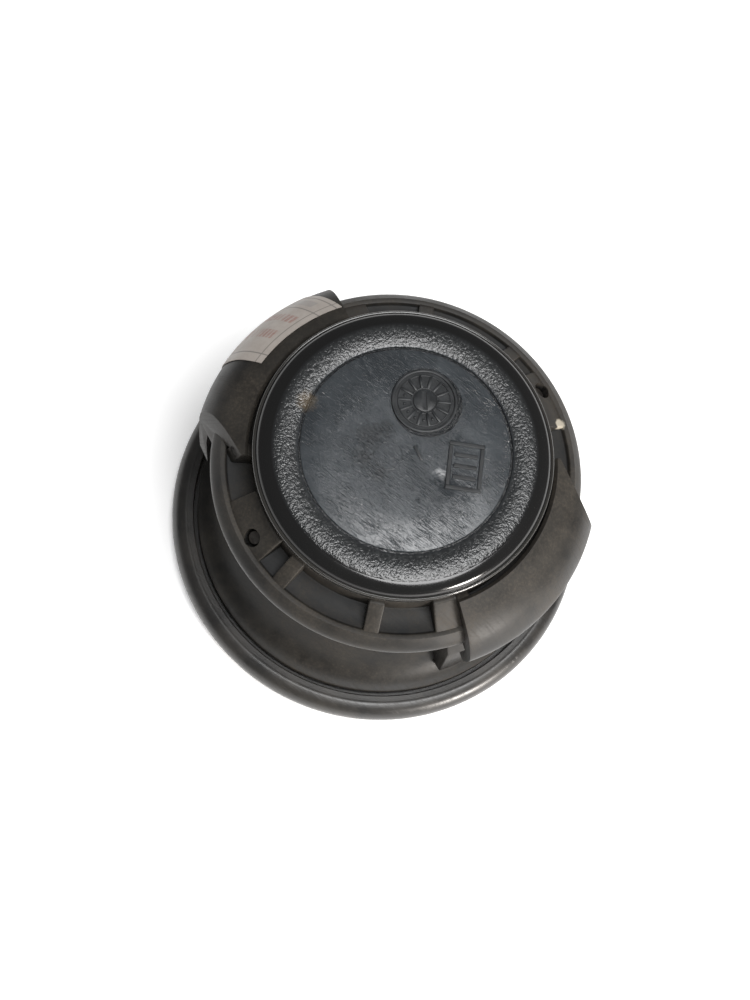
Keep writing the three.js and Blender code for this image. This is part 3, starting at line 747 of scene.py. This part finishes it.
def makeCollarDetails():
    bellSpan = bellR - neckR
    footZ = shellSizes["bellFootZ"]
    footOutline = [(neckR - 0.3, waistZ - 0.8), (neckR + 0.4 * bellSpan, waistZ - 0.8),
                   (neckR + 0.75 * bellSpan, waistZ - 4.2), (neckR + 0.82 * bellSpan, footZ + 2.1),
                   (neckR + 0.6 * bellSpan, footZ + 1), (neckR, footZ + 6.4)]
    shapes = []
    for turn in (0, 180):
        shapes += [slab(coneOutline, ribSizes["width"], angle + turn) for angle in ribSizes["angles"]]
        shapes += [spun(coneOutline, ribSizes["gusset"][0] + turn, ribSizes["gusset"][1] + turn, 12)]
        shapes += [spun(footOutline, ribSizes["foot"][0] + turn, ribSizes["foot"][1] + turn, 12)]
    for shape in shapes:
        soften(shape, ribSizes["edge"], 3, 30)
    finishPiece(joined(shapes), "collarRibs", "housing")
    holes = bossHoles()
    for number, turn in ((1, 0), (2, 180)):
        boss = spun(coneOutline, bossSizes["start"] + turn, bossSizes["end"] + turn, 24)
        soften(boss, ribSizes["edge"], 3, 30)
        pair = joined(holes[:2] if turn == 0 else holes[2:])
        finishPiece(cutAway(boss, pair), f"screwBoss_{number}", "housing")


makeHousing()
makeWings()
makeCollarDetails()
print("housing made")

# rear cap: face, witness groove, dark shoulder and a thin lip
capSizes = {"grooveW": 0.28, "grooveD": 0.26, "faceDrop": 0.06, "shoulderR": 15.3, "lipW": 0.34,
            "lipDrop": 1.25, "skirt": 2.6, "wall": 1.4, "pits": ((318.6, 6.53, 0.24), (150, 12.3, 0.3))}


def capOutline():
    half, deep = capSizes["grooveW"] / 2, capSizes["grooveD"]
    inner, outer = capFinish["grooveR"] - half, capFinish["grooveR"] + half
    lipR = capR - capSizes["lipW"]
    face = [(0, topZ), (4, topZ), (8, topZ), (inner - 0.12, topZ - capSizes["faceDrop"]),
            (inner - 0.03, topZ - 0.1), (inner + 0.03, topZ - deep), (outer - 0.03, topZ - deep),
            (outer + 0.03, topZ - 0.05), (outer + 0.12, topZ), (capSizes["shoulderR"], topZ)]
    shoulder = flow([(capSizes["shoulderR"], topZ), (capSizes["shoulderR"] + 1.0, topZ - 0.2),
                     (lipR - 0.5, topZ - 0.66), (lipR - 0.05, topZ - capSizes["lipDrop"])], 6)
    lip = flow([(lipR + 0.04, topZ - capSizes["lipDrop"]), (capR - 0.14, topZ - capSizes["lipDrop"] + 0.02),
                (capR, topZ - capSizes["lipDrop"] - 0.18), (capR, topZ - 1.9)], 4)
    baseZ = topZ - capSizes["skirt"]
    backZ = topZ - capSizes["wall"]
    back = [(capR - 0.12, baseZ), (chamberR - 0.3, baseZ), (chamberR - 0.3, baseZ - capSizes["wall"]),
            (chamberR - 1.5, baseZ - capSizes["wall"]), (chamberR - 1.5, backZ), (0, backZ)]
    return [*face, *shoulder[1:], *lip, *back]


# a frame on the cap's face
def onFace(at, turn=0.0, height=0.0):
    shift = Matrix.Translation(Vector((at[0], at[1], topZ + height)) * mm)
    return shift @ Matrix.Rotation(radians(turn), 4, "Z")


def moved(bm, matrix):
    bmesh.ops.transform(bm, matrix=matrix, verts=bm.verts)
    return bm


def ring(innerR, outerR, low, high, edge=0.05, sides=96):
    bm = spun([(innerR, low), (outerR, low), (outerR, high), (innerR, high)], steps=sides)
    return soften(bm, edge, 2, 40)


dimpleSizes = {"at": around(5.72, 356), "size": 1.1, "ball": 2.6}
gateSizes = {"at": around(2.41, 240.9), "size": 1.8, "line": 0.14}


def makeCap():
    bm = spun(capOutline(), steps=288)
    seatR, moatR, deep = dialSizes["outerR"] + 0.12, dialSizes["moat"], dialSizes["deep"]
    bm = cutAway(bm, rod(seatR, seatR, 2 * deep, onFace(dialAt), 96))
    bm = cutAway(bm, rod(moatR, moatR, deep, onFace(moatAt), 96))
    ball = bmesh.new()
    size, reach = dimpleSizes["size"], dimpleSizes["ball"]
    lift = sqrt(reach * reach - size * size)
    bmesh.ops.create_uvsphere(ball, u_segments=64, v_segments=48, radius=reach * mm,
                              matrix=onFace(dimpleSizes["at"], 0, lift))
    bm = cutAway(bm, ball)
    gate = gateSizes["size"]
    bm = cutAway(bm, moved(ring(gate - gateSizes["line"], gate, -0.1, 0.2, 0.02), onFace(gateSizes["at"])))
    for angle, radius, size in capSizes["pits"]:
        bm = cutAway(bm, rod(size, size * 1.4, 0.3, onFace(around(radius, angle)), 12))
    finishPiece(bm, "capShell", "cap", ["rear_cap"])


def makeDial():
    floorZ = -dialSizes["deep"] + 0.02
    sunkZ = -dialSizes["deep"] - 0.1
    outer, rim, hub, ringR = dialSizes["outerR"], dialSizes["rimW"], dialSizes["hubR"], dialSizes["ringR"]
    shapes = [spun([(0, floorZ), (outer - 0.05, floorZ), (outer - 0.05, -0.9), (0, -0.9)], steps=96),
              ring(outer - rim, outer, sunkZ, 0.03),
              ring(ringR, ringR + dialSizes["ringW"], sunkZ, -0.04, 0.03)]
    core = soften(spun([(0, 0.0), (hub, 0.0), (hub, sunkZ), (0, sunkZ)], steps=64), 0.06, 2, 40)
    shapes.append(cutAway(core, block(dialSizes["slot"], (0, 0, 0.02), dialSizes["slotTurn"])))
    shapes.append(ring(hub + 0.12, hub + 0.3, sunkZ, -0.05, 0.03, 64))
    step = 360 / dialSizes["spokes"]
    inner, reach = hub + 0.2, ringR + 0.1
    spoke = (reach - inner, dialSizes["spokeW"], 0.26)
    for i in range(dialSizes["spokes"]):
        shapes.append(block(spoke, ((reach + inner) / 2, 0, -0.14), step * i, 0.06, 2))
    for i in dialSizes["dots"]:
        dot = bmesh.new()
        bmesh.ops.create_uvsphere(dot, u_segments=20, v_segments=12, radius=dialSizes["dotR"] * mm)
        bmesh.ops.scale(dot, vec=(1, 1, 0.7), verts=dot.verts)
        at = Vector(around(dialSizes["dotAt"], step * (i + 0.5), floorZ)) * mm
        bmesh.ops.translate(dot, verts=dot.verts, vec=at)
        shapes.append(dot)
    dial = moved(joined(shapes), onFace(dialAt, dialSizes["turn"]))
    finishPiece(dial, "dateDial", "cap", look="dial", flat=True)


# a plain framed set of bars and one tick, raised on the face
markSizes = {"at": around(7.29, 20.5), "turn": 30, "long": 6.0, "wide": 4.3, "line": 0.5, "bars": 3,
             "high": 0.22, "sink": 0.02, "edge": 0.08}
tickSizes = {"at": around(1.49, 17.4), "turn": 62, "size": (0.34, 1.9, 0.2), "edge": 0.07}


def makeMark():
    long, wide, line = markSizes["long"], markSizes["wide"], markSizes["line"]
    high, sink, edge = markSizes["high"], markSizes["sink"], markSizes["edge"]
    shapes = []
    for side in (-1, 1):
        shapes.append(block((wide, line, high), (0, side * (long - line) / 2, sink), 0, edge))
        shapes.append(block((line, long - 2 * line, high), (side * (wide - line) / 2, 0, sink), 0, edge))
    step = (long - line) / (markSizes["bars"] + 1)
    for i in range(markSizes["bars"]):
        y = -(long - line) / 2 + step * (i + 1)
        shapes.append(block((wide - 3 * line, line, high), (0, y, sink), 0, edge))
    mark = moved(joined(shapes), onFace(markSizes["at"], markSizes["turn"]))
    finishPiece(mark, "faceMark", "cap", look="dial", flat=True)
    tick = block(tickSizes["size"], (0, 0, sink), 0, tickSizes["edge"])
    moved(tick, onFace(tickSizes["at"], tickSizes["turn"]))
    finishPiece(tick, "faceTick", "cap", look="dial", flat=True)


makeCap()
makeDial()
makeMark()
print("rear cap made")

# bezel and its honeycomb grille
bezelSizes = {"mouthR": 24.8, "ledgeR": 22, "innerR": 24.55, "ledgeZ": 1.6, "ledgeT": 1}


def makeBezel():
    mouthR, innerR, ledgeR = bezelSizes["mouthR"], bezelSizes["innerR"], bezelSizes["ledgeR"]
    ledgeZ = bezelSizes["ledgeZ"]
    ledgeBackZ = ledgeZ + bezelSizes["ledgeT"]
    outer = flow([(flangeR - 1, 0), (flangeR - 0.3, 0.7), (flangeR, 2), (flangeR - 0.2, 3.1),
                  (flangeR - 0.8, bezelZ - 0.35), (flangeR - 1.6, bezelZ), (flangeR - 2.1, bezelZ)], 7)
    inner = [(innerR + 0.15, bezelZ), (innerR, bezelZ - 0.15), (innerR, ledgeBackZ), (ledgeR, ledgeBackZ),
             (ledgeR, ledgeZ), (mouthR, ledgeZ), (mouthR, 0.25), (mouthR + 0.25, 0)]
    finishPiece(spun([*outer, *inner], steps=320), "bezelRing", "bezel", ["front_bezel"])


grilleSizes = {"outerR": 24.5, "rim": 1.6, "pitch": 1.55, "web": 0.2, "low": 0.8, "thick": 0.5,
               "proud": 0.08}


def makeGrille():
    bm = bmesh.new()
    pitch, outerR = grilleSizes["pitch"], grilleSizes["outerR"]
    rows = ceil(outerR / (pitch * sqrt(0.75)))
    for row in range(-rows, rows + 1):
        for column in range(-rows - 2, rows + 3):
            x, y = (column + (row % 2) / 2) * pitch, row * pitch * sqrt(0.75)
            if hypot(x, y) < outerR - grilleSizes["rim"] + pitch * 0.4:
                place = Matrix.Translation((x * mm, y * mm, grilleSizes["low"] * mm))
                bmesh.ops.create_circle(bm, cap_ends=True, segments=6, radius=pitch / sqrt(3) * mm,
                                        matrix=place)
    bmesh.ops.remove_doubles(bm, verts=bm.verts, dist=0.01 * mm)
    bmesh.ops.inset_individual(bm, faces=bm.faces[:], thickness=grilleSizes["web"] * mm, use_even_offset=True)
    bmesh.ops.delete(bm, geom=[face for face in bm.faces if len(face.verts) == 6], context="FACES")
    bmesh.ops.recalc_face_normals(bm, faces=bm.faces)
    grown = bmesh.ops.extrude_face_region(bm, geom=bm.faces[:], use_keep_orig=True)
    lifted = [item for item in grown["geom"] if isinstance(item, bmesh.types.BMVert)]
    bmesh.ops.translate(bm, verts=lifted, vec=(0, 0, grilleSizes["thick"] * mm))
    bmesh.ops.recalc_face_normals(bm, faces=bm.faces)
    low = grilleSizes["low"] - grilleSizes["proud"]
    high = grilleSizes["low"] + grilleSizes["thick"] + grilleSizes["proud"]
    rim = ring(outerR - grilleSizes["rim"], outerR, low, high, 0.06, 192)
    finishPiece(joined([bm, rim]), "grilleMesh", "grille", ["grille"])


makeBezel()
makeGrille()
print("bezel and grille made")

# terminal block with two drilled blades
terminalSizes = {"wide": 11, "high": 4.6, "z": 15.2, "innerY": 16.9, "outerY": 20.1, "bladeW": 2.8,
                 "bladeT": 0.8, "slack": 0.6, "span": 5.2, "bladeInY": 15.5, "bladeOutY": 25.1,
                 "holeR": 0.6, "holeIn": 1.7, "wall": 0.8, "tip": 0.7}


def makeTerminals():
    t = terminalSizes
    midY = (t["innerY"] + t["outerY"]) / 2
    bm = block((t["wide"], t["outerY"] - t["innerY"], t["high"]), (0, midY, t["z"]), terminalTurn, 0.3)
    for side in (-1, 1):
        slot = (t["bladeW"] + t["slack"], 9, t["bladeT"] + t["slack"])
        bm = cutAway(bm, block(slot, (side * t["span"] / 2, t["outerY"] - 2, t["z"]), terminalTurn))
    pocket = (t["wide"] - 2 * t["wall"], 1, t["high"] - 2 * t["wall"])
    bm = cutAway(bm, block(pocket, (0, t["outerY"] + 0.1, t["z"]), terminalTurn))
    finishPiece(bm, "terminalHousing", "plastic", ["terminal_block"], flat=True)
    length, bladeMidY = t["bladeOutY"] - t["bladeInY"], (t["bladeInY"] + t["bladeOutY"]) / 2
    for side, name in ((-1, "negative"), (1, "positive")):
        x = side * t["span"] / 2
        blade = bmesh.new()
        bmesh.ops.create_cube(blade, size=1)
        bmesh.ops.scale(blade, vec=Vector((t["bladeW"], length, t["bladeT"])) * mm, verts=blade.verts)
        tip = [edge for edge in blade.edges if all(v.co.y > 0 for v in edge.verts)
               and abs(edge.verts[0].co.x - edge.verts[1].co.x) < 1e-9]
        bmesh.ops.bevel(blade, geom=tip, offset=t["tip"] * mm, affect="EDGES", segments=2, profile=0.5,
                        material=-1)
        soften(blade, 0.1, 2, 40)
        bmesh.ops.translate(blade, verts=blade.verts, vec=Vector((x, bladeMidY, t["z"])) * mm)
        holeAt = Matrix.Translation(Vector((x, t["bladeOutY"] - t["holeIn"], t["z"])) * mm)
        blade = cutAway(blade, rod(t["holeR"], t["holeR"], 4, holeAt, 32))
        turnedZ(blade, terminalTurn)
        finishPiece(blade, f"blade_{name}", "brass", [f"terminal_{name}"], flat=True)


makeTerminals()
print("terminals made")

# paper label rolled over the second wing, skewed as if put on by hand
labelSizes = {"rear": (147.6, 183), "front": (158, 187), "low": 0.12, "high": 0.86, "lift": 0.05,
              "thick": 0.08, "steps": (90, 36)}


def between(low, high, share):
    return low + (high - low) * share


# the point at a share of a curve's length, and the direction square to it
def alongCurve(curve, share):
    lengths = [hypot(b[0] - a[0], b[1] - a[1]) for a, b in zip(curve, curve[1:])]
    left = share * sum(lengths)
    for (a, b), length in zip(zip(curve, curve[1:]), lengths):
        if left <= length:
            break
        left -= length
    t = left / length
    out = ((b[1] - a[1]) / length, (a[0] - b[0]) / length)
    return (a[0] + (b[0] - a[0]) * t, a[1] + (b[1] - a[1]) * t), out


def makeLabel():
    bm = bmesh.new()
    columns, rows = labelSizes["steps"]
    bmesh.ops.create_grid(bm, x_segments=columns, y_segments=rows, size=0.5)
    plan = bm.loops.layers.uv.new("print")
    for face in bm.faces:
        for loop in face.loops:
            loop[plan].uv = (loop.vert.co.x + 0.5, loop.vert.co.y + 0.5)
    for vert in bm.verts:
        u, v = vert.co.x + 0.5, vert.co.y + 0.5
        (r, z), out = alongCurve(wingCurve, between(labelSizes["low"], labelSizes["high"], v))
        start, end = (between(front, rear, v) for front, rear in zip(labelSizes["front"], labelSizes["rear"]))
        r += out[0] * labelSizes["lift"]
        vert.co = Vector(around(r, between(start, end, u), z + out[1] * labelSizes["lift"])) * mm
    bmesh.ops.recalc_face_normals(bm, faces=bm.faces)
    outwards = sum(face.normal.dot(face.calc_center_median()) for face in bm.faces)
    if outwards < 0:
        bmesh.ops.reverse_faces(bm, faces=bm.faces[:])
    bmesh.ops.solidify(bm, geom=bm.faces[:], thickness=-labelSizes["thick"] * mm)
    bmesh.ops.recalc_face_normals(bm, faces=bm.faces)
    finishPiece(bm, "labelPaper", "label", ["label"])


makeLabel()
print("label made")
